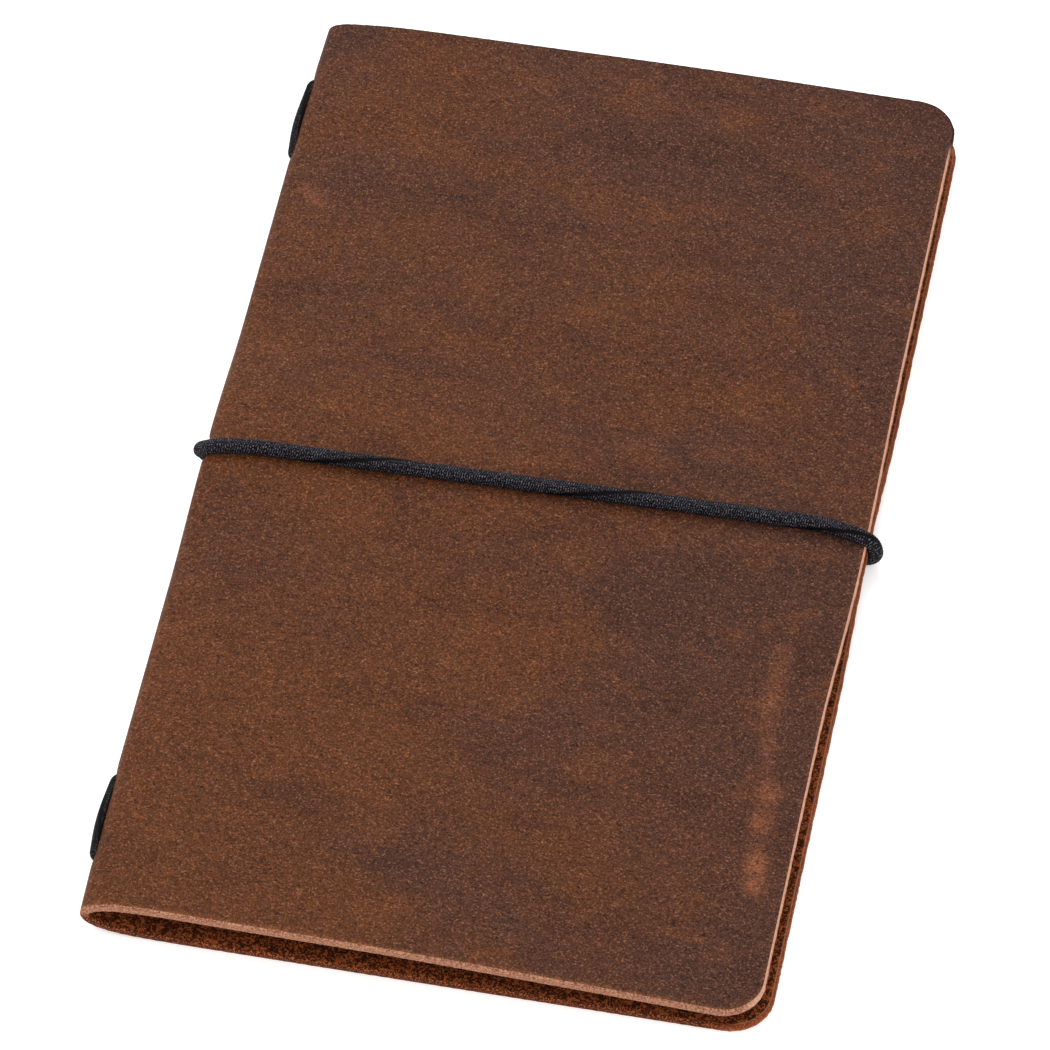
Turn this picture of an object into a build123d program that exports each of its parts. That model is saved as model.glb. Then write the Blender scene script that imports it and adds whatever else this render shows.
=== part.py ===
"""Leather notebook cover: one folded sheet, a lacing elastic for the inserts, a closure elastic.

The cover lies closed on its back cover. +X runs from the spine to the fore-edge, +Y runs along the
spine to the head, +Z is up. The origin is the centre of the footprint, on the surface it lies on.
The single leather sheet is cut at its two creases into back cover, spine and front cover, so that
each part can be a rigid body. Units are millimetres.
"""

import os

from build123d import *

os.makedirs("parts", exist_ok=True)

# The folded sheet
length = 220.0
half_width = 62.5
leather = 1.7
corner_radius = 8.0
front_inset = 1.2
mid_inset = 0.5
crease_gap = 0.4

# The elastics
band_d = 2.7
lacing_d = 1.5
fit_gap = 0.1

# The stations along the spine: the sheet is lifted over the closure strand between the ramps
ramp_end = 34.0
ramp_top = 5.0
lift = band_d + 0.05

# The fold at the ends and over the strand: outer radius, and the centre of its round
fold_r_end = 4.5
fold_r_mid = 3.8
fold_x_end = fold_r_end - half_width
fold_x_mid = fold_r_mid - half_width
fold_sweep = 80.0

# Heights of the front cover's upper face at mid-width and at the fore-edge. The elastic presses it
# down in the middle, and it sinks more at the tail than at the head.
front_tail = (8.0, 5.4)
front_pressed = (8.3, lift + 2 * leather + 0.25)
front_above_ramp = (8.5, 7.6)
front_head = (8.7, 8.5)

# The lacing holes, measured from the middle of the spine, and the hole of the closure elastic
lacing_outer_y = 96.5
lacing_inner_y = 77.5
band_hole_y = -0.95
band_hole_z = lift + fold_r_mid
strand_pitch = band_d + fit_gap

crease_x = fold_x_end + crease_gap

# Each station: its y, whether it is over the strand, and the two heights of the front cover there
stations = [
    (-length / 2, False, front_tail),
    (-ramp_end, False, front_tail),
    (-ramp_top, True, front_pressed),
    (ramp_top, True, front_pressed),
    (ramp_end, False, front_above_ramp),
    (length / 2, False, front_head),
]


def section_plane(y):
    """The plane across the spine at y: its local x is +X and its local y is +Z."""
    return Plane(origin=(0, y, 0), x_dir=(1, 0, 0), z_dir=(0, -1, 0))


def round_cornered(edge_x):
    """The outline of one cover: square at the spine, with two round corners at the fore-edge."""
    with BuildSketch(Plane.XY) as outline:
        with BuildLine():
            FilletPolyline(
                (-half_width, -length / 2),
                (edge_x, -length / 2),
                (edge_x, length / 2),
                (-half_width, length / 2),
                radius=corner_radius,
            )
            Line((-half_width, length / 2), (-half_width, -length / 2))
        make_face()
    return outline.sketch


def elastic(points, radii, diameter, close=False):
    """A round elastic along straight runs joined by tangent arcs, one radius for each corner."""
    with BuildPart() as piece:
        with BuildLine() as route:
            FilletPolyline(*points, radius=radii, close=close)
        start = route.line ^ 0
        with BuildSketch(Plane(origin=start.position, z_dir=start.z_axis.direction * -1)):
            Circle(diameter / 2)
        sweep(path=route.wires()[0])
    print("elastic: length", round(route.wires()[0].length, 1), "mm, radii", radii)
    return piece


# Back cover: flat on the table at both ends, lifted in the middle over the closure strand
with BuildPart() as back_cover:
    for y, over_strand, front_heights in stations:
        bottom = lift if over_strand else 0.0
        edge_x = half_width - mid_inset if over_strand else half_width
        with BuildSketch(section_plane(y)):
            with BuildLine():
                Polyline(
                    (crease_x, bottom),
                    (edge_x, bottom),
                    (edge_x, bottom + leather),
                    (crease_x, bottom + leather),
                    close=True,
                )
            make_face()
    loft(ruled=True)
    extrude(round_cornered(half_width), amount=4 * fold_r_end, mode=Mode.INTERSECT)
back_cover.part.label = "back_cover"
export_step(back_cover.part, "parts/back_cover.step")

# Spine: the round of the fold, pressed tighter where the closure elastic crosses it, with the
# four lacing holes and the slot for the two strands of the closure elastic
with BuildPart() as spine:
    for y, over_strand, front_heights in stations:
        outer_r = fold_r_mid if over_strand else fold_r_end
        centre_x = fold_x_mid if over_strand else fold_x_end
        centre_z = lift + fold_r_mid if over_strand else fold_r_end
        with BuildSketch(section_plane(y)):
            with BuildLine():
                centre = (centre_x, centre_z)
                outer = CenterArc(centre, outer_r, 180 - fold_sweep, 2 * fold_sweep)
                inner = CenterArc(centre, outer_r - leather, 180 - fold_sweep, 2 * fold_sweep)
                Line(outer @ 0, inner @ 0)
                Line(outer @ 1, inner @ 1)
            make_face()
    loft(ruled=True)
    hole_places = [
        (side * y, fold_r_end) for side in (-1, 1) for y in (lacing_outer_y, lacing_inner_y)
    ]
    with BuildSketch(Plane.YZ.offset(-half_width - 1)):
        with Locations(*hole_places):
            Circle(lacing_d / 2 + fit_gap)
        with Locations((band_hole_y, band_hole_z)):
            SlotCenterToCenter(strand_pitch, band_d + 2 * fit_gap)
    extrude(amount=leather + 3, mode=Mode.SUBTRACT)
spine.part.label = "spine"
export_step(spine.part, "parts/spine.step")

# Front cover: it leans from the fold down to the fore-edge, a little short of the back cover
with BuildPart() as front_cover:
    for y, over_strand, (mid_top, edge_top) in stations:
        fold_top = lift + 2 * fold_r_mid if over_strand else 2 * fold_r_end
        edge_x = half_width - front_inset
        with BuildSketch(section_plane(y)):
            with BuildLine():
                Polyline(
                    (crease_x, fold_top),
                    (0, mid_top),
                    (edge_x, edge_top),
                    (edge_x, edge_top - leather),
                    (0, mid_top - leather),
                    (crease_x, fold_top - leather),
                    close=True,
                )
            make_face()
    loft(ruled=True)
    extrude(round_cornered(half_width - front_inset), amount=4 * fold_r_end, mode=Mode.INTERSECT)
front_cover.part.label = "front_cover"
export_step(front_cover.part, "parts/front_cover.step")

# Closure elastic: out of the spine's slot, over the front, round the fore-edge and back under
band_x = half_width + fit_gap + band_d / 2
band_low = band_d / 2
band_high = lift + 2 * fold_r_mid + 2.5 * fit_gap + band_d / 2
band_edge_high = front_pressed[1] + band_d / 2
hole_front_y = band_hole_y - strand_pitch / 2
hole_back_y = band_hole_y + strand_pitch / 2
band_end_x = -57.6
over_front_y = (-3.8, 3.1)
under_back_y = (0.6, 1.6)
band_route = [
    (band_end_x, hole_front_y, band_hole_z),
    (-band_x, hole_front_y, band_hole_z),
    (-band_x, over_front_y[0], band_high),
    (band_x, over_front_y[1], band_edge_high),
    (band_x, under_back_y[0], band_low),
    (-band_x, under_back_y[1], band_low),
    (-band_x, hole_back_y, band_hole_z),
    (band_end_x, hole_back_y, band_hole_z),
]
closure_band = elastic(band_route, [1.6, 3.3, 1.8, 1.8, 3.3, 1.6], band_d)
closure_band.part.label = "closure_band"
export_step(closure_band.part, "parts/closure_band.step")

# Knot of the closure elastic, inside the fold
knot_r = 1.9
knot_length = 7.0
knot_round = 1.2
with BuildPart() as closure_knot:
    with BuildSketch(Plane.XZ.offset(-band_hole_y - knot_length / 2)):
        with Locations((band_end_x + fit_gap + knot_r, band_hole_z)):
            Circle(knot_r)
    extrude(amount=knot_length)
    fillet(closure_knot.edges().filter_by(GeomType.CIRCLE), radius=knot_round)
closure_knot.part.label = "closure_knot"
export_step(closure_knot.part, "parts/closure_knot.step")

# Lacing elastic: two short outer stretches on the spine, two long strands inside the fold
outer_x = -half_width - fit_gap - lacing_d / 2
bow_x = outer_x - 0.2
inner_x = -59.4
strand_x = (-51.0, -49.2)
strand_z = 6.3
lacing_route = [
    (outer_x, lacing_outer_y, fold_r_end),
    (bow_x, (lacing_outer_y + lacing_inner_y) / 2, fold_r_end),
    (outer_x, lacing_inner_y, fold_r_end),
    (inner_x, lacing_inner_y, fold_r_end),
    (strand_x[0], 0, strand_z),
    (inner_x, -lacing_inner_y, fold_r_end),
    (outer_x, -lacing_inner_y, fold_r_end),
    (bow_x, -(lacing_outer_y + lacing_inner_y) / 2, fold_r_end),
    (outer_x, -lacing_outer_y, fold_r_end),
    (inner_x, -lacing_outer_y, fold_r_end),
    (strand_x[1], 0, strand_z),
    (inner_x, lacing_outer_y, fold_r_end),
]
lacing_radii = [1.3, 40.0, 1.3, 1.3, 150.0, 1.3, 1.3, 40.0, 1.3, 1.3, 150.0, 1.3]
binding_elastic = elastic(lacing_route, lacing_radii, lacing_d, close=True)
binding_elastic.part.label = "binding_elastic"
export_step(binding_elastic.part, "parts/binding_elastic.step")

# Knot of the lacing elastic, on the strand between the outer holes
lacing_knot_r = 1.7
lacing_knot_length = 5.5
lacing_knot_round = 1.0
lacing_knot_place = (-54.8, 60.0, 5.2)
with BuildPart() as binding_knot:
    with BuildSketch(Plane.XZ.offset(-lacing_knot_place[1] - lacing_knot_length / 2)):
        with Locations((lacing_knot_place[0], lacing_knot_place[2])):
            Circle(lacing_knot_r)
    extrude(amount=lacing_knot_length)
    fillet(binding_knot.edges().filter_by(GeomType.CIRCLE), radius=lacing_knot_round)
binding_knot.part.label = "binding_knot"
export_step(binding_knot.part, "parts/binding_knot.step")
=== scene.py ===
import math

import bmesh
import bpy
import numpy as np
from mathutils import Matrix, Vector


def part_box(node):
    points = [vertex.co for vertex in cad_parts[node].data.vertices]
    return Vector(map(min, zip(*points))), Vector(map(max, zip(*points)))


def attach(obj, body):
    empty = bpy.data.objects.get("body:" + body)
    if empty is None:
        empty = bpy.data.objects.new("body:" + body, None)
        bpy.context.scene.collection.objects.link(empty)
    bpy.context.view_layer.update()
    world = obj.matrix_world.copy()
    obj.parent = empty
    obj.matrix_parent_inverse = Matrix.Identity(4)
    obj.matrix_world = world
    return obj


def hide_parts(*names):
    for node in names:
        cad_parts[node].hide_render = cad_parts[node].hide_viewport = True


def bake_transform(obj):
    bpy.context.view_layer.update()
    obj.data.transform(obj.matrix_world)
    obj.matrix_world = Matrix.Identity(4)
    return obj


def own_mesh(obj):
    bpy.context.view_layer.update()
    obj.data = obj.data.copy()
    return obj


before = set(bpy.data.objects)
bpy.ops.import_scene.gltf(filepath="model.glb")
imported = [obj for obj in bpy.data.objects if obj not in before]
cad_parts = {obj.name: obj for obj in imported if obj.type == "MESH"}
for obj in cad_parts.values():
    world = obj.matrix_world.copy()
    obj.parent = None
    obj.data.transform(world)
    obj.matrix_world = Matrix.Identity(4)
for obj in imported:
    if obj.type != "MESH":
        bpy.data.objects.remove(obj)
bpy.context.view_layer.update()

MM = 0.001


# ---- The table and the light ----
# The closed cover lies on a pale seamless table, under one large soft light from the head side and
# weaker ones from the spine side and the front, as a small item is set up in a studio.
def placed_object(name, data):
    """An object of that mesh, lamp or camera, linked into the scene at the origin."""
    made = bpy.data.objects.new(name, data)
    bpy.context.collection.objects.link(made)
    return made


def table_top(half_size, steps):
    """A flat square grid at the height z = 0, from -half_size to half_size each way."""
    line = np.linspace(-half_size, half_size, steps)
    x, y = np.meshgrid(line, line)
    points = np.stack([x, y, np.zeros_like(x)], axis=-1).reshape(-1, 3)
    corner = (np.arange(steps - 1)[:, None] * steps + np.arange(steps - 1)).ravel()
    quads = np.stack([corner, corner + 1, corner + steps + 1, corner + steps], axis=1)
    mesh = bpy.data.meshes.new("table")
    mesh.from_pydata(points.tolist(), [], quads.tolist())
    return placed_object("table", mesh)


def paper_white():
    """The matt white of the table's paper."""
    material = bpy.data.materials.new("table_paper")
    material.use_nodes = True
    shader = material.node_tree.nodes["Principled BSDF"]
    shader.inputs["Base Color"].default_value = (0.94, 0.94, 0.935, 1)
    shader.inputs["Roughness"].default_value = 0.9
    shader.inputs["Specular IOR Level"].default_value = 0.1
    shader.inputs["Emission Color"].default_value = (1, 1, 1, 1)
    shader.inputs["Emission Strength"].default_value = 0.35
    return material


table = table_top(half_size=3.0, steps=9)
table.data.materials.append(paper_white())


def soft_light(name, place, aim, size, watts, colour):
    """A square area light at place, turned towards aim."""
    light = bpy.data.lights.new(name, "AREA")
    light.size = size
    light.energy = watts
    light.color = colour
    lamp = placed_object(name, light)
    lamp.location = place
    lamp.rotation_euler = (Vector(aim) - Vector(place)).to_track_quat("-Z", "Y").to_euler()


soft_light("head_light", (-0.35, 0.9, 1.1), (0, 0, 0), 0.9, 9, (1.0, 0.99, 0.97))
soft_light("spine_light", (-1.1, -0.3, 0.8), (0, 0, 0), 0.8, 4, (1.0, 0.98, 0.96))
soft_light("front_light", (0.7, -1.0, 1.0), (0, 0, 0), 1.2, 4, (0.97, 0.98, 1.0))

world = bpy.data.worlds.new("studio")
world.use_nodes = True
world.node_tree.nodes["Background"].inputs["Color"].default_value = (1, 1, 1, 1)
world.node_tree.nodes["Background"].inputs["Strength"].default_value = 0.85
bpy.context.scene.world = world
bpy.context.scene.view_settings.view_transform = "Standard"

# The camera looks down at the tail end with a long lens, so the cover runs from lower left to
# upper right and keeps its sides nearly parallel.
camera_turn = math.radians(-10.3)
camera_tilt = math.radians(39.8)
camera_roll = math.radians(-0.7)
camera_aim = Vector((-1.74, -2.08, 0.0)) * MM
camera_distance = 1626 * MM
camera_data = bpy.data.cameras.new("camera")
camera_data.sensor_width = 36
camera_data.lens = 300.5
camera_data.clip_end = 20
camera = placed_object("camera", camera_data)
turned = Matrix.Rotation(-camera_turn, 3, "Z") @ Matrix.Rotation(camera_tilt, 3, "X")
facing = turned @ Matrix.Rotation(-camera_roll, 3, "Z")
camera_place = camera_aim + facing @ Vector((0, 0, camera_distance))
camera.matrix_world = Matrix.Translation(camera_place) @ facing.to_4x4()
bpy.context.scene.camera = camera


# ---- The leather sheet ----
# One sheet of oiled pull-up cowhide, cut with a knife and left raw at its edges, with a round corner
# at each fore-edge end. It is folded once for the spine; the grain faces out and the suede faces in.
# It is made as two halves that meet along the middle of the spine.
sheet_length = 220.0 * MM
half_width = 62.5 * MM
leather = 1.7 * MM
corner_radius = 8.0 * MM
edge_round = 0.45 * MM
edge_power = 2.6
back_inset = 0.2 * MM
front_inset = (1.7 * MM, 0.5 * MM, 0.6 * MM)

# The elastics: their diameters, the places of their holes along the spine, and how they draw the
# leather in: the depth, its reach from the nose, and its reach along the spine from the middle of the
# slot or past each hole of the lacing.
band_d = 2.95 * MM
lacing_d = 1.9 * MM
band_hole_y = -0.95 * MM
tail_holes_y = (-97.0 * MM, -78.4 * MM)
head_holes_y = (76.2 * MM, 95.8 * MM)
slot_draw = (0.75 * MM, 1.5 * MM, 2.6 * MM)
lacing_draw = (0.3 * MM, 1.6 * MM, 0.8 * MM)

# The back cover lies on the table, but for its middle, which lies on a strand of the closure elastic.
# It is lifted fully up to lift_flat from the middle, and not at all past lift_end.
strand_lift = 2.75 * MM
lift_flat = 3.0 * MM
lift_end = 34.0 * MM

# The heights of the nose and of the top of the fold, then the lean and the droop of the front cover: at
# the tail, in the middle where the elastic presses it, and at the head. Between tail and head they
# change over head_ramp to each side of the middle, and the press ends at press_end.
spine_tail = (4.6 * MM, 9.0 * MM)
spine_pressed = (6.5 * MM, 10.3 * MM)
spine_head = (3.9 * MM, 7.4 * MM)
front_tail = (0.9 * MM, 2.7 * MM)
front_pressed = (3.9 * MM, 0.0)
front_head = (-1.45 * MM, 1.2 * MM)
head_ramp = 60.0 * MM
press_end = 45.0 * MM

# Along the width of the front cover: where the lean starts, how long it is and how softly it starts,
# the late rise at the head, and a shallow wave. At its two ends the fold is drawn in a little.
lean_start = -55.0 * MM
lean_run = 116.0 * MM
lean_ease = 0.03
head_rise = 0.85 * MM
head_rise_run = 10.0 * MM
wave_height = 0.12 * MM
wave_grows = 20.0 * MM
end_draw = 0.55 * MM
end_draw_start = 75.0 * MM
end_draw_run = 12.0 * MM

# The shape of the fold: the share of its turn made in a tight bend at the nose, and that bend's length
# as a share of the long bend's. The grid holds distances from the nose, in lengths of the long bend,
# far enough for the sheet to be level at its end.
tight_share = 0.53
tight_length = 0.25
turn_grid = np.linspace(0.0, 60.0, 60001)
turn_angle = 0.5 * np.pi * (
    tight_share * np.exp(-turn_grid / tight_length) + (1 - tight_share) * np.exp(-turn_grid)
)


def running_sum(values):
    """The integral of values over turn_grid, by the trapezium rule, starting from 0."""
    steps = 0.5 * (values[1:] + values[:-1]) * np.diff(turn_grid)
    return np.concatenate([[0.0], np.cumsum(steps)])


turn_advance = running_sum(np.cos(turn_angle))
turn_rise = running_sum(np.sin(turn_angle))
full_rise = turn_rise[-1]
lost_advance = turn_grid[-1] - turn_advance[-1]


def hump(y, flat, end):
    """1 up to flat on each side of the middle of the spine, 0 past end, half a cosine wave between."""
    return 0.5 * (1 + np.cos(np.pi * np.clip((np.abs(y) - flat) / (end - flat), 0, 1)))


def along_spine(tail, pressed, head, y, press):
    """A size that goes from tail to head by a smoothstep, and is pressed in the middle by that share."""
    share = np.clip((y + head_ramp) / (2 * head_ramp), 0, 1)
    free = tail + (head - tail) * share * share * (3 - 2 * share)
    return free + (pressed - free) * press


def fold_levels(y):
    """The heights of the nose of the fold and of the grain above it, at each y."""
    press = hump(y, lift_flat, lift_end)
    nose = along_spine(spine_tail[0], spine_pressed[0], spine_head[0], y, press)
    top = along_spine(spine_tail[1], spine_pressed[1], spine_head[1], y, press)
    return nose, top


def fold_size(side, y):
    """The length of the long bend of the fold, so that the sheet turns level at its own height."""
    nose, top = fold_levels(y)
    level = top - leather / 2 if side > 0 else leather / 2 + strand_lift * hump(y, lift_flat, lift_end)
    return np.abs(level - nose) / full_rise


def middle_surface(side, a, y):
    """The middle of the leather at the distance a from the nose of the fold. The sheet starts upright
    and turns level as the sum of two falling exponentials of a, a tight one and a long one; the front
    cover then leans and droops to the fore-edge, and it waves a little."""
    size = fold_size(side, y)
    turn = a / size
    x = leather / 2 - half_width + size * np.interp(np.abs(turn), turn_grid, turn_advance)
    near_end = np.clip((np.abs(y) - end_draw_start) / (sheet_length / 2 - end_draw_start), 0, 1)
    x = x + end_draw * near_end**2 * np.exp(-np.abs(a) / end_draw_run)
    rise = size * np.sign(turn) * np.interp(np.abs(turn), turn_grid, turn_rise)
    z = fold_levels(y)[0] + side * rise
    if side > 0:
        press = hump(y, lift_flat, press_end)
        run = (x - lean_start) / lean_run
        run = 0.5 * (run + np.sqrt(run * run + lean_ease**2))
        z = z - along_spine(front_tail[0], front_pressed[0], front_head[0], y, press) * run
        z = z - along_spine(front_tail[1], front_pressed[1], front_head[1], y, press) * run * run
        late = 1 - np.exp(-np.clip(x - lean_start, 0, None) / head_rise_run)
        z = z + along_spine(0.0, 0.0, head_rise, y, press) * late
        wave = np.sin(61 * x + 27 * y + 0.6) * np.sin(33 * y - 19 * x + 1.1)
        z = z + wave_height * wave * np.clip((x - lean_start) / wave_grows, 0, 1)
    return np.stack([x, y + 0 * x, z], axis=-1)


def drawn_in(a, y):
    """How deep the elastics draw the leather in, each a bell over a and a flat-topped bell over y: one
    at the slot of the closure elastic, and one along each outer stretch of the lacing elastic."""
    depth, from_nose, from_slot = slot_draw
    drawn = depth * np.exp(-((a / from_nose) ** 2 + ((y - band_hole_y) / from_slot) ** 4))
    depth, from_nose, past_hole = lacing_draw
    for first_y, last_y in (tail_holes_y, head_holes_y):
        half_run = (last_y - first_y) / 2 + past_hole
        along = (y - (first_y + last_y) / 2) / half_run
        drawn = drawn + depth * np.exp(-((a / from_nose) ** 2) - along**8)
    return drawn


def leather_point(side, a, y, h):
    """The point at the height h above the middle of the leather: the middle surface plus h times its
    unit normal, which is the cross product of its two slopes and points out of the grain side."""
    step = 0.02 * MM
    along_a = middle_surface(side, a + step, y) - middle_surface(side, a - step, y)
    along_y = middle_surface(side, a, y + step) - middle_surface(side, a, y - step)
    normal = side * np.cross(along_a, along_y)
    normal = normal / np.linalg.norm(normal, axis=-1, keepdims=True)
    return middle_surface(side, a, y) + (h - drawn_in(a, y))[..., None] * normal


def fore_edge(side, y):
    """The distance from the nose to the fore-edge, before the corners are rounded. The front cover
    ends a little short of the back cover, most at the tail."""
    inset = back_inset * hump(y, lift_flat, lift_end)
    if side > 0:
        inset = along_spine(*front_inset, y, hump(y, 0, press_end))
    return 2 * half_width - inset - leather / 2 + lost_advance * fold_size(side, y)


def sheet_rows():
    """Stations along the spine: equal turns round each corner, even steps between them, and close
    steps at the holes."""
    inset = corner_radius - edge_round
    turns = np.linspace(0, np.pi / 2, 19)
    corner = sheet_length / 2 - corner_radius + inset * np.cos(turns)
    even = np.linspace(-corner[-1], corner[-1], 150)[1:-1]
    hole_reach = 3.3 * MM
    near_hole = np.linspace(-hole_reach, hole_reach, 13)
    holes = np.array([*tail_holes_y, band_hole_y, *head_holes_y])
    close = (holes[:, None] + near_hole).ravel()
    even = even[np.abs(even[:, None] - holes).min(axis=1) > hole_reach + 0.3 * MM]
    return np.sort(np.concatenate([-corner, even, close, corner]))


def sheet_columns():
    """Shares of the way from the nose to the fore-edge, from distances in millimetres: even steps over
    the fold, longer ones over the flat, and ever shorter ones up to the edge."""
    fold_end, flat_end, edge_end = 12.0, 121.5, 125.6
    fold = np.arange(0, fold_end, 0.3)
    flat = np.linspace(fold_end, flat_end, 88)[:-1]
    edge = edge_end - (edge_end - flat_end) * np.linspace(1, 0, 13) ** 1.4
    return np.concatenate([fold, flat, edge]) / edge_end


def turn_faces_out(mesh):
    """Turns every face of a closed mesh outwards."""
    shell = bmesh.new()
    shell.from_mesh(mesh)
    bmesh.ops.recalc_face_normals(shell, faces=shell.faces)
    shell.to_mesh(mesh)
    shell.free()


def half_sheet(name, side):
    """One half of the sheet as a closed shell. The grain and suede faces are one grid each, over the
    outline drawn in by edge_round; the cut edge is a superellipse carried round that outline, a little
    ragged; a plain wall closes the middle of the spine."""
    rows, columns = sheet_rows(), sheet_columns()
    y = rows[:, None] + 0 * columns
    past = np.clip(np.abs(y) - (sheet_length / 2 - corner_radius), 0, None)
    inset = corner_radius - edge_round
    corner = np.sqrt(np.clip(inset**2 - past**2, 0, None))
    centre = fore_edge(side, y) - corner_radius
    a = (centre + corner) * columns
    m, n = a.shape

    ring_a = np.concatenate([a[0, :-1], a[:, -1], a[-1, -2::-1]])
    ring_y = np.concatenate([y[0, :-1], y[:, -1], y[-1, -2::-1]])
    out_a = np.concatenate([np.zeros(n - 1), corner[:, -1] / inset, np.zeros(n - 1)])
    out_y = np.concatenate([-np.ones(n - 1), np.sign(rows) * past[:, -1] / inset, np.ones(n - 1)])
    angles = np.linspace(np.pi / 2, -np.pi / 2, 11)[1:-1]
    height = 0.5 * leather * np.sign(np.sin(angles)) * np.abs(np.sin(angles)) ** (2 / edge_power)
    bulge = edge_round * np.cos(angles) ** (2 / edge_power)
    ragged = 1 + 0.10 * np.sin(ring_a * 2900 + ring_y * 3700)
    ragged = ragged + 0.08 * np.sin(ring_y * 7100 - ring_a * 5300)
    rim_a = ring_a + bulge[:, None] * ragged * out_a
    rim_y = ring_y + bulge[:, None] * ragged * out_y
    rim_h = height[:, None] + 0 * rim_a

    flat_a = np.concatenate([a.ravel(), a.ravel(), rim_a.ravel()])
    flat_y = np.concatenate([y.ravel(), y.ravel(), rim_y.ravel()])
    grain_h = np.full(m * n, leather / 2)
    flat_h = np.concatenate([grain_h, -grain_h, rim_h.ravel()])
    points = leather_point(side, flat_a, flat_y, flat_h)

    index = np.arange(m * n).reshape(m, n)
    cells = [index[:-1, :-1], index[:-1, 1:], index[1:, 1:], index[1:, :-1]]
    cells = np.stack(cells, axis=-1).reshape(-1, 4)
    ring = np.concatenate([index[0, :-1], index[:, -1], index[-1, -2::-1]])
    count = len(ring)
    rim = 2 * m * n + np.arange(len(angles) * count).reshape(len(angles), count)
    rings = np.concatenate([ring[None], rim, ring[None] + m * n])
    strip = [rings[:-1, :-1], rings[1:, :-1], rings[1:, 1:], rings[:-1, 1:]]
    strip = np.stack(strip, axis=-1).reshape(-1, 4)
    nose = index[:, 0]
    wall = np.stack([nose[:-1], nose[1:], nose[1:] + m * n, nose[:-1] + m * n], axis=-1)
    faces = np.concatenate([cells, cells[:, ::-1] + m * n, strip, wall]).tolist()
    faces += [rings[:, 0].tolist(), rings[::-1, -1].tolist()]
    kinds = [0] * len(cells) + [2] * len(cells) + [1] * len(strip) + [2] * (len(wall) + 2)

    mesh = bpy.data.meshes.new(name)
    mesh.from_pydata(points.tolist(), [], faces)
    mesh.polygons.foreach_set("material_index", kinds)
    place = mesh.attributes.new("hide_place", "FLOAT_VECTOR", "POINT")
    on_hide = np.stack([side * flat_a, flat_y, flat_h], axis=-1) / MM
    place.data.foreach_set("vector", on_hide.ravel())
    end_gap = sheet_length / 2 - np.abs(flat_y)
    past_flat = np.clip(np.abs(flat_y) - (sheet_length / 2 - corner_radius), 0, None)
    reach = flat_a - (fore_edge(side, flat_y) - corner_radius)
    round_gap = corner_radius - np.hypot(np.clip(reach, 0, None), past_flat)
    edge = mesh.attributes.new("edge_gap", "FLOAT", "POINT")
    edge.data.foreach_set("value", np.minimum(end_gap, round_gap) / MM)
    turn_faces_out(mesh)
    mesh.polygons.foreach_set("use_smooth", [True] * len(faces))
    flat_from = len(faces) - len(wall) - 2
    for polygon in mesh.polygons[flat_from:]:
        polygon.use_smooth = False
    return placed_object(name, mesh)


class Wire:
    """What comes out of a node. The operators on it add Math nodes to the same material."""

    def __init__(self, paint, socket):
        self.paint = paint
        self.socket = socket

    def maths(self, operation, *values):
        """A Math node's result on one or two values."""
        return self.paint.node("ShaderNodeMath", {"operation": operation}, dict(enumerate(values)))

    def __add__(self, other):
        return self.maths("ADD", self, other)

    def __sub__(self, other):
        return self.maths("SUBTRACT", self, other)

    def __mul__(self, other):
        return self.maths("MULTIPLY", self, other)

    def __truediv__(self, other):
        return self.maths("DIVIDE", self, other)

    def __abs__(self):
        return self.maths("ABSOLUTE", self)

    def __radd__(self, other):
        return self.maths("ADD", other, self)

    def __rsub__(self, other):
        return self.maths("SUBTRACT", other, self)

    def __rmul__(self, other):
        return self.maths("MULTIPLY", other, self)


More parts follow.
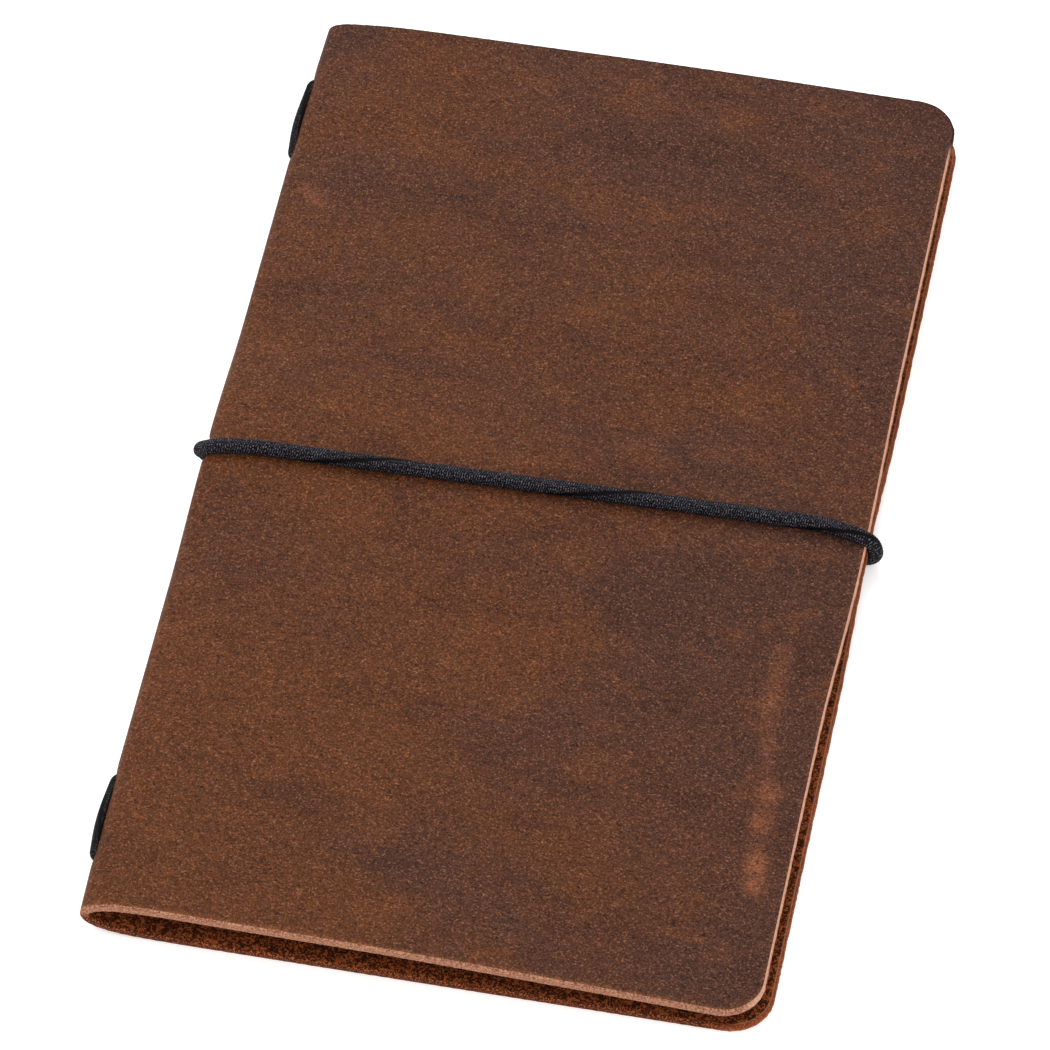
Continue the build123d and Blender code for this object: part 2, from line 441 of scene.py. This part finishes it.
class Paint:
    """A material and the nodes that lead to its shader."""

    def __init__(self, name):
        self.material = bpy.data.materials.new(name)
        self.material.use_nodes = True
        self.tree = self.material.node_tree
        self.shader = self.tree.nodes["Principled BSDF"]

    def node(self, kind, settings, inputs, output=0):
        """A node of that kind: its settings first, then a value or a link for each named input."""
        made = self.tree.nodes.new(kind)
        for setting, value in settings.items():
            setattr(made, setting, value)
        for key, value in inputs.items():
            if isinstance(value, Wire):
                self.tree.links.new(value.socket, made.inputs[key])
            else:
                made.inputs[key].default_value = value
        return Wire(self, made.outputs[output])

    def attribute(self, name, output="Vector"):
        """What the mesh holds under that name, as a vector or as a factor."""
        return self.node("ShaderNodeAttribute", {"attribute_name": name}, {}, output)

    def split(self, vector):
        """The three numbers of a vector, each a wire of its own."""
        parts = self.node("ShaderNodeSeparateXYZ", {}, {"Vector": vector}).socket.node.outputs
        return [Wire(self, parts[axis]) for axis in "XYZ"]

    def placed(self, vector, turn=0.0, size=(1, 1, 1), shift=(0, 0, 0)):
        """The coordinates turned about Z, then scaled, then moved."""
        inputs = {"Vector": vector, "Rotation": (0, 0, turn), "Scale": size, "Location": shift}
        return self.node("ShaderNodeMapping", {}, inputs)

    def noise(self, vector, scale, detail=2.0, roughness=0.5, distortion=0.0):
        """Smooth noise around 0.5, with that many features per unit of the coordinates."""
        inputs = {"Vector": vector, "Scale": scale, "Detail": detail}
        inputs |= {"Roughness": roughness, "Distortion": distortion}
        return self.node("ShaderNodeTexNoise", {}, inputs)

    def rise(self, value, start, end, low=0.0, high=1.0):
        """low up to start and high from end on, with a smooth step between."""
        inputs = {"Value": value, "From Min": start, "From Max": end, "To Min": low, "To Max": high}
        return self.node("ShaderNodeMapRange", {"interpolation_type": "SMOOTHSTEP"}, inputs)

    def mix(self, share, first, second):
        """The first colour where share is 0 and the second where it is 1."""
        return self.node("ShaderNodeMix", {"data_type": "RGBA"}, {0: share, 6: first, 7: second}, 2)

    def tone(self, colour, factor):
        """The colour times a grey factor."""
        grey = self.node("ShaderNodeCombineXYZ", {}, {0: factor, 1: factor, 2: factor})
        return self.node("ShaderNodeVectorMath", {"operation": "MULTIPLY"}, {0: colour, 1: grey})

    def bump(self, height, depth, strength=1.0):
        """A normal bent by height, which is in units of depth."""
        inputs = {"Height": height, "Distance": depth, "Strength": strength}
        return self.node("ShaderNodeBump", {}, inputs)

    def feed(self, **inputs):
        """Sets the shader's inputs: a link for what varies, a value for what doesn't."""
        for key, value in inputs.items():
            socket = self.shader.inputs[key.replace("_", " ")]
            if isinstance(value, Wire):
                self.tree.links.new(value.socket, socket)
            else:
                socket.default_value = value


def shade(red, green, blue):
    """A colour given as it looks on a screen, from 0 to 255, as the linear colour a shader takes."""
    screen = np.array([red, green, blue]) / 255.0
    linear = np.where(screen <= 0.04045, screen / 12.92, ((screen + 0.055) / 1.055) ** 2.4)
    return (*linear.tolist(), 1.0)


WARM_BROWN = shade(89, 49, 25)
GREY_BROWN = shade(71, 43, 33)
DARK_BROWN = shade(58, 33, 25)
ORANGE_BROWN = shade(106, 60, 30)
# PALE_GLINT and COOL_GLINT are painted glints of light off the pebbled grain.
PALE_GLINT = shade(160, 110, 76)
COOL_GLINT = shade(90, 80, 86)
RUBBED_TAN = shade(142, 84, 56)
BARED_ORANGE = shade(126, 76, 46)
CUT_PINK = shade(196, 142, 114)
# CUT_HIGHLIGHT is a painted highlight: the light caught by the cut at the fore-edge.
CUT_HIGHLIGHT = shade(232, 180, 154)
CUT_TAN = shade(112, 66, 44)
DARK_CUT = shade(52, 23, 12)
FLESH_BROWN = shade(58, 24, 10)
FLESH_RUST = shade(108, 50, 22)
FLESH_ORANGE = shade(172, 90, 44)

# Marks of use on the front cover, as places in the frame in millimetres: the long rubbed streak by
# the fore-edge with the wear of each of its runs, and single scratches, each given as its two ends,
# its half width, its softness and its strength.
STREAK = [(51, -27), (51, -39), (52, -49.5), (54, -59.5), (53.5, -66.5), (54.5, -76), (55, -81.5)]
STREAK_WEAR = [0.35, 0.20, 0.15, 0.40, 0.30, 0.60]
SCRATCHES = [
    ((56, -84), (56.5, -84.5), 0.4, 0.8, 0.7),
    ((54.5, -81), (55, -82), 0.5, 1.0, 0.5),
    ((27, -93.5), (30, -95), 0.1, 0.5, 0.6),
    ((30, -95), (34, -94), 0.1, 0.4, 0.8),
    ((-42, 81.5), (-39, 78.5), 0.1, 0.4, 0.5),
    ((-37.5, -12.5), (-25, -11), 0.1, 0.5, 0.3),
    ((-57.5, 66), (-54, 63), 0.3, 2.4, 0.35),
    ((-56.5, -71), (-51, -76.5), 0.2, 0.9, 0.6),
    ((48.5, 40), (49.5, 34), 0.1, 0.4, 0.5),
    ((50.5, 78.5), (51.5, 72.5), 0.1, 0.4, 0.35),
    ((28, 88), (31.5, 90.5), 0.1, 0.4, 0.35),
    ((16.5, 73), (19.5, 76), 0.1, 0.4, 0.35),
    ((52, -103.5), (57, -107), 0.1, 0.6, 0.55),
    ((50.5, -101), (53.5, -104.5), 0.1, 0.5, 0.4),
    ((59, -100), (61, -102.5), 0.05, 0.2, 1.0),
]


def on_front(x, y):
    """The place on the hide, in millimetres, of a point of the front cover given in the frame."""
    return (x + (half_width - leather / 2 + lost_advance * fold_size(1, y * MM)) / MM, y, 0)


def rubbed(paint, place, first, last, width, soft):
    """1 within width of the line from first to last, falling to 0 over soft more."""
    run = np.subtract(last, first)
    offset = paint.node("ShaderNodeVectorMath", {"operation": "SUBTRACT"}, {0: place, 1: first})
    along = paint.node("ShaderNodeVectorMath", {"operation": "DOT_PRODUCT"}, {0: offset, 1: run}, 1)
    share = paint.node("ShaderNodeClamp", {}, {"Value": along / float(run @ run)})
    step = paint.node("ShaderNodeVectorMath", {"operation": "SCALE"}, {0: run, "Scale": share})
    apart = paint.node("ShaderNodeVectorMath", {"operation": "DISTANCE"}, {0: offset, 1: step}, 1)
    return paint.rise(apart, width, width + soft, 1.0, 0.0)


def grain_leather():
    """Oiled pull-up grain: a fine pebbled skin whose oils have moved, so it is warmer and paler along
    the spine and where it has been bent or rubbed, and a greyer brown towards the head and fore-edge.
    Its pale and blue-grey specks are painted glints, and its cut rim is partly a painted highlight,
    left off at the head."""
    paint = Paint("grain_leather")
    place = paint.attribute("hide_place")
    signed, along, _ = paint.split(place)
    across = abs(signed)

    drift = paint.noise(paint.placed(place, 0.25, (0.5, 1.0, 1.0)), 0.030, 3.0, 0.5, 0.8)
    cloud = paint.noise(paint.placed(place, -0.35, (0.45, 1.0, 1.0), (7, 3, 0)), 0.075, 4.0, 0.6, 0.5)
    patch = paint.noise(paint.placed(place, 0.1, (0.6, 1.0, 1.0), (31, 12, 0)), 0.11, 3.0, 0.55, 0.4)
    curl = paint.noise(paint.placed(place, 0.75, (0.8, 1.1, 1.0)), 1.35, 3.0, 0.65, 1.6)
    speck = paint.noise(place, 2.6, 2.0, 0.6)
    glint_noise = paint.noise(paint.placed(place, 0.3, (1.0, 1.0, 1.0), (17, 5, 0)), 2.2, 2.0, 0.6)

    cool = paint.rise(drift + across * 0.0022 + along * 0.0009, 0.42, 0.86)
    colour = paint.mix(cool, WARM_BROWN, GREY_BROWN)
    colour = paint.mix(paint.rise(cloud, 0.48, 0.72) * 0.55, colour, DARK_BROWN)
    colour = paint.mix(paint.rise(patch, 0.50, 0.74) * 0.40, colour, ORANGE_BROWN)

    wear = paint.noise(paint.placed(place, 0.9, (1.0, 1.4, 1.0)), 0.55, 4.0, 0.7, 0.6)
    streak = 0.0
    for first, last, share in zip(STREAK, STREAK[1:], STREAK_WEAR):
        part = rubbed(paint, place, on_front(*first), on_front(*last), 0.2, 3.2)
        streak = part * share + streak
    for first, last, width, soft, share in SCRATCHES:
        part = rubbed(paint, place, on_front(*first), on_front(*last), width, soft)
        streak = part * share + streak
    colour = paint.mix(streak * paint.rise(wear, 0.15, 0.60), colour, RUBBED_TAN)

    gap = paint.attribute("edge_gap", "Fac")
    # not_head leaves the head out: there the edge faces away, so the painted highlight of the rim is
    # left off, and the bared orange with it.
    not_head = paint.rise(along, 97.0, 102.0, 1.0, 0.0)
    at_side = paint.rise(across, 114.0, 120.0) * paint.rise(along, -103.0, -97.0)
    not_head = not_head * (1.0 - at_side * 0.6)
    bared = paint.rise(gap + (wear - 0.5) * 1.6, 0.1, 1.5, 1.0, 0.0)
    colour = paint.mix(bared * not_head * 0.6, colour, BARED_ORANGE)
    # The pale rim at the cut edge: partly the pale cut fibres, partly a painted highlight where the edge
    # catches the light.
    rim = paint.rise(gap + (curl - 0.5) * 0.35, 0.02, 0.30, 1.0, 0.0)
    colour = paint.mix(rim * not_head * 0.85, colour, CUT_PINK)
    colour = paint.tone(colour, curl * 3.0 + speck * 2.0 - 1.52)
    # Painted highlights: blue-grey and pale specks stand in for glints of light off the grain.
    colour = paint.mix(paint.rise(glint_noise, 0.54, 0.74) * 0.35, colour, COOL_GLINT)
    colour = paint.mix(paint.rise(speck + (curl - 0.5) * 0.6, 0.56, 0.80) * 0.60, colour, PALE_GLINT)

    cells = {"Vector": place, "Scale": 1.3}
    pebble = paint.node("ShaderNodeTexVoronoi", {"feature": "DISTANCE_TO_EDGE"}, cells)
    height = paint.rise(pebble, 0.0, 0.16) * 0.6 + curl * 0.8 + speck * 0.4
    paint.feed(
        Base_Color=colour,
        Roughness=0.50 + cloud * 0.16,
        Normal=paint.bump(height, 0.06 * MM, 0.8),
    )
    paint.shader.inputs["Specular IOR Level"].default_value = 0.07
    return paint.material


def cut_leather():
    """The raw cut through the hide. On the front cover its fibres are a pale pinkish tan, brightened
    at the fore-edge by a painted highlight, darkened at the head by painted shade, and darker towards
    the flesh side at the fore-edge. On the back cover it is dark and red, with paler fibres close to
    the grain at the fore-edge."""
    paint = Paint("cut_leather")
    place = paint.attribute("hide_place")
    signed, along, height = paint.split(place)
    across = abs(signed)
    fibre = paint.noise(paint.placed(place, 0, (1, 1, 1.6)), 2.3, 4.0, 0.8)
    fleck = paint.noise(place, 3.4, 2.0, 0.6)
    at_side = paint.rise(across, 114.0, 120.0)
    pale = paint.mix(paint.rise(fibre, 0.40, 0.62), CUT_TAN, CUT_PINK)
    # A painted highlight: the cut at the fore-edge is brightened where it catches the light.
    pale = paint.mix(paint.rise(across, 120.0, 122.5, 0.0, 0.5), pale, CUT_HIGHLIGHT)
    below = at_side * paint.rise(along, -103.0, -97.0) * paint.rise(height, 0.40, 0.70, 1.0, 0.0)
    pale = paint.mix(below, pale, FLESH_RUST)
    # Painted shade: the cut at the head, which faces away, is darkened.
    pale = paint.mix(paint.rise(along, 95.0, 101.0), pale, DARK_CUT)
    ground = paint.mix(at_side, DARK_CUT, FLESH_RUST)
    back_colour = paint.mix(paint.rise(fleck, 0.48, 0.64), ground, FLESH_ORANGE)
    rim = at_side * paint.rise(height, 0.0, 0.55) * paint.rise(fleck, 0.40, 0.58, 0.15, 0.95)
    back_colour = paint.mix(rim, back_colour, CUT_PINK)
    colour = paint.mix(paint.rise(signed, -1.0, 1.0), back_colour, pale)
    paint.feed(Base_Color=colour, Roughness=0.85, Normal=paint.bump(fibre, 0.12 * MM, 0.9))
    paint.shader.inputs["Specular IOR Level"].default_value = 0.15
    return paint.material


def suede_leather():
    """The flesh side: dark red-brown suede with orange fibres standing out of it, and a pale ragged rim
    where the knife cut it, wider at the fore-edge."""
    paint = Paint("suede_leather")
    place = paint.attribute("hide_place")
    nap = paint.noise(place, 2.2, 5.0, 0.8)
    tuft = paint.noise(paint.placed(place, 0.5, (1, 1, 1), (5, 9, 0)), 0.9, 3.0, 0.7, 0.8)
    at_side = paint.rise(abs(paint.split(place)[0]), 116.0, 121.0)
    colour = paint.mix(paint.rise(nap + (tuft - 0.5) * 0.6, 0.48, 0.58), FLESH_BROWN, FLESH_ORANGE)
    gap = paint.attribute("edge_gap", "Fac")
    rim = paint.rise(gap + (nap - 0.5) * 1.2 + at_side * -0.3, 0.1, 0.5, 1.0, 0.0)
    colour = paint.mix(rim * 0.75, colour, CUT_PINK)
    paint.feed(Base_Color=colour, Roughness=0.95, Normal=paint.bump(nap, 0.35 * MM, 1.0))
    paint.shader.inputs["Specular IOR Level"].default_value = 0.1
    return paint.material


leather_finishes = [grain_leather(), cut_leather(), suede_leather()]
back_half = half_sheet("back_half_sheet", -1)
front_half = half_sheet("front_half_sheet", 1)
for half in (back_half, front_half):
    for finish in leather_finishes:
        half.data.materials.append(finish)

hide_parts("back_cover", "spine")
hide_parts("front_cover")
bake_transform(back_half)
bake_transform(front_half)


# ---- The elastics ----
# Two round elastics: a rubber core in a braided polyester jacket, black. The thick one closes the
# cover and the thin one holds the inserts; each is tied in a knot inside the fold.
def rounded_route(points, trims, spacing, closed=False):
    """Points at even spacing along straight runs whose corners are rounded by quadratic curves that
    start and end trims away from the corner, or half the shorter run where that is less."""
    points = np.array(points, dtype=float)
    if closed:
        points = np.concatenate([points[-1:], points, points[:1]])
    runs = np.linalg.norm(np.diff(points, axis=0), axis=1)
    heading = np.diff(points, axis=0) / runs[:, None]
    shorter = np.minimum(runs[:-1], runs[1:])
    trim = np.minimum(trims, 0.5 * shorter)[:, None]
    corner = points[1:-1]
    start = corner - trim * heading[:-1]
    end = corner + trim * heading[1:]
    t = np.linspace(0, 1, 25)[:, None, None]
    curves = (1 - t) ** 2 * start + 2 * t * (1 - t) * corner + t**2 * end
    line = curves.transpose(1, 0, 2).reshape(-1, 3)
    if closed:
        line = np.concatenate([line, line[:1]])
    else:
        line = np.concatenate([points[:1], line, points[-1:]])
    moved = np.linalg.norm(np.diff(line, axis=0), axis=1) > 1e-9
    line = line[np.concatenate([[True], moved])]
    along = np.concatenate([[0.0], np.cumsum(np.linalg.norm(np.diff(line, axis=0), axis=1))])
    even = np.linspace(0, along[-1], max(8, round(along[-1] / spacing)) + 1)
    return np.stack([np.interp(even, along, line[:, axis]) for axis in range(3)], axis=1)


groove_pitch = 46.0 * MM


def braided_cord(name, line, diameter, upright, closed=False, sides=36, wales=12, rib=0.46 * MM):
    """A tube of that diameter along line. Its jacket has lengthwise wales, one half cosine wave each,
    crossed by ribs, one cosine wave each and out of step from wale to wale, and one bell-shaped groove
    that winds slowly round it where the strands of the braid part."""
    step = np.gradient(line, axis=0)
    if closed:
        line = line[:-1]
        step = np.roll(line, -1, axis=0) - np.roll(line, 1, axis=0)
    tangent = step / np.linalg.norm(step, axis=1, keepdims=True)
    across = np.cross(tangent, np.array(upright, dtype=float))
    across = across / np.linalg.norm(across, axis=1, keepdims=True)
    up = np.cross(across, tangent)
    gaps = np.linalg.norm(np.diff(line, axis=0), axis=1)
    along = np.concatenate([[0.0], np.cumsum(gaps)])[:, None]
    angle = np.linspace(0, 2 * np.pi, sides, endpoint=False)[None, :]

    wale = np.abs(np.cos(0.5 * wales * angle))
    ribs = 0.5 + 0.5 * np.cos(2 * np.pi * along / rib + np.pi * np.floor(wales * angle / (2 * np.pi)))
    turn = np.angle(np.exp(1j * (angle - 2 * np.pi * along / groove_pitch - 0.7)))
    relief = (0.4 + 0.6 * wale) * ribs - 0.9 * np.exp(-((turn / 0.2) ** 2))
    radius = 0.5 * diameter * (0.96 + 0.04 * relief)
    outwards = np.cos(angle)[..., None] * across[:, None] + np.sin(angle)[..., None] * up[:, None]
    points = line[:, None] + radius[..., None] * outwards

    count = len(line)
    index = np.arange(count * sides).reshape(count, sides)
    ahead = np.roll(index, -1, axis=0) if closed else index[1:]
    here = index if closed else index[:-1]
    quads = np.stack([here, ahead, np.roll(ahead, -1, axis=1), np.roll(here, -1, axis=1)], axis=-1)
    faces = quads.reshape(-1, 4).tolist()
    if not closed:
        faces += [index[0].tolist(), index[-1, ::-1].tolist()]
    mesh = bpy.data.meshes.new(name)
    mesh.from_pydata(points.reshape(-1, 3).tolist(), [], faces)
    mesh.polygons.foreach_set("use_smooth", [True] * len(faces))
    place = mesh.attributes.new("cord_place", "FLOAT_VECTOR", "POINT")
    length_on, girth_on = np.broadcast_arrays(along / MM, 0.5 * diameter * angle / MM)
    jacket = np.stack([length_on, girth_on, relief], axis=-1)
    place.data.foreach_set("vector", jacket.ravel())
    turn_faces_out(mesh)
    return placed_object(name, mesh)


def black_braid(name, rib_highlight):
    """Black braided polyester: the crowns of its ribs carry a painted blue-grey highlight, its grooves
    don't.
    """
    paint = Paint(name)
    place = paint.attribute("cord_place")
    relief = paint.split(place)[2]
    lint = paint.noise(place, 2.4, 3.0, 0.7)
    thread = paint.noise(paint.placed(place, 0, (1.6, 1.6, 0)), 1.8, 3.0, 0.7)
    crown_highlight = paint.rise(relief, 0.2, 0.8) * paint.rise(thread, 0.46, 0.62)
    colour = paint.mix(crown_highlight, shade(8, 6, 6), rib_highlight)
    paint.feed(Base_Color=colour, Roughness=0.7, Normal=paint.bump(lint, 0.04 * MM, 0.6))
    paint.shader.inputs["Specular IOR Level"].default_value = 0.08
    return paint.material


def on_leather(side, a, y, h):
    """One point at the height h above the grain, a and y being millimetres from the nose and from the
    middle of the spine."""
    a, y, h = np.array([a * MM]), np.array([y * MM]), np.array([leather / 2 + h])
    return leather_point(side, a, y, h)[0]


# The closure elastic comes out of the middle of the spine, crosses the front cover a little aslant,
# turns round the fore-edge, and goes back under the back cover into the same slot. On the covers its
# stops are millimetres from the nose, and its y drifts by that much in each of them.
band_out = (-2.05 * MM, 7.2 * MM)
band_back = (-0.25 * MM, 5.0 * MM)
band_rest = 1.25 * MM
band_end_x = -57.6 * MM
band_nose_x = -64.2 * MM
front_stops = (3.2, 5.5, 9, 14, 22, 36, 55, 75, 95, 108, 115)
back_stops = (114, 105, 85, 60, 35, 18, 11, 7, 4.2)
front_start_y, front_drift = -3.1, 0.0475
back_start_y, back_drift = 0.1, 0.0092
over_front = [on_leather(1, a, front_start_y + front_drift * a, band_rest) for a in front_stops]
under_back = [on_leather(-1, a, back_start_y + back_drift * a, band_rest) for a in back_stops]
band_route = [
    (band_end_x, *band_out),
    (band_nose_x, *band_out),
    *over_front,
    (59.3 * MM, 1.5 * MM, 7.6 * MM),
    (62.8 * MM, 1.0 * MM, 6.5 * MM),
    (63.8 * MM, 0.8 * MM, 3.7 * MM),
    (62.6 * MM, 1.1 * MM, 1.7 * MM),
    (59.5 * MM, 1.2 * MM, 1.5 * MM),
    *under_back,
    (band_nose_x, *band_back),
    (band_end_x, *band_back),
]
longer_than_runs = 1.0
band_trims = [longer_than_runs] * (len(band_route) - 2)
band_line = rounded_route(band_route, band_trims, spacing=0.12 * MM)
closure_elastic = braided_cord("closure_elastic", band_line, band_d, (0, 1, 0))
# The closure braid's rib crowns get a painted blue-grey highlight.
closure_braid = black_braid("closure_braid", shade(120, 118, 132))
closure_elastic.data.materials.append(closure_braid)
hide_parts("closure_band")
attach(closure_elastic, "closure_band")
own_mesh(closure_elastic)

# The lacing elastic is one loop: two short stretches lie on the spine, and two long strands run
# inside the fold from head to tail, arched away from the nose at their middle.
lacing_x = -half_width + 0.3 * MM
bow_x = -half_width - 0.5 * MM
inner_x = -59.4 * MM
tail_outer_y, tail_inner_y = tail_holes_y
head_inner_y, head_outer_y = head_holes_y
head_z, tail_z = spine_head[0], spine_tail[0]
strand_z = 6.3 * MM
lacing_route = [
    (lacing_x, head_outer_y, head_z),
    (bow_x, 84.5 * MM, head_z),
    (lacing_x, head_inner_y, head_z),
    (inner_x, head_inner_y, head_z),
    (-51.0 * MM, 0, strand_z),
    (inner_x, tail_inner_y, tail_z),
    (lacing_x, tail_inner_y, tail_z),
    (bow_x, -88.5 * MM, tail_z),
    (lacing_x, tail_outer_y, tail_z),
    (inner_x, tail_outer_y, tail_z),
    (-49.2 * MM, 0, strand_z),
    (inner_x, head_outer_y, head_z),
]
lacing_trims = np.array([1.5, 9.0, 1.5, 1.4, 30.0, 1.4, 1.5, 9.0, 1.5, 1.4, 30.0, 1.4]) * MM
lacing_line = rounded_route(lacing_route, lacing_trims, spacing=0.15 * MM, closed=True)
lacing_elastic = braided_cord(
    "lacing_elastic", lacing_line, lacing_d, (0, 0, 1), closed=True, sides=20, wales=7, rib=0.4 * MM
)
# The lacing braid's rib crowns get a painted blue-grey highlight.
lacing_braid = black_braid("lacing_braid", shade(88, 86, 98))
lacing_elastic.data.materials.append(lacing_braid)
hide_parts("binding_elastic")
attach(lacing_elastic, "spine")


# ---- The knots ----
# Each elastic is tied with a barrel knot, drawn tight so that the cord is thinner in it; the cut
# ends stand a little out of the barrel.
def barrel_knot(name, node, barrel_length, coil_radius, diameter, finish, turns=3):
    """The cord wound as a helix along Y in the middle of its CAD node's box. Its radius grows with the
    square of the distance over the last fifth of a turn at each end, so that the cut ends stand out."""
    low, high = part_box(node)
    middle = [(low[axis] + high[axis]) / 2 for axis in range(3)]
    t = np.linspace(-1, 1, 1 + round(2 * np.pi * coil_radius * turns / (0.14 * MM)))
    spread = 1 + 0.9 * np.clip((np.abs(t) - 0.88) / 0.12, 0, 1) ** 2
    angle = np.pi * turns * t
    x = middle[0] + coil_radius * spread * np.cos(angle)
    y = middle[1] + 0.5 * barrel_length * t
    z = middle[2] + coil_radius * spread * np.sin(angle)
    line = np.stack([x, y, z], axis=1)
    knot = braided_cord(name, line, diameter, (0, 1, 0), sides=20, wales=7, rib=0.4 * MM)
    knot.data.materials.append(finish)
    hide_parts(node)
    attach(knot, "spine")


barrel_knot(
    "closure_knot_coil",
    "closure_knot",
    barrel_length=5.2 * MM,
    coil_radius=0.95 * MM,
    diameter=1.9 * MM,
    finish=closure_braid,
)
barrel_knot(
    "lacing_knot_coil",
    "binding_knot",
    barrel_length=4.2 * MM,
    coil_radius=0.8 * MM,
    diameter=1.4 * MM,
    finish=lacing_braid,
)
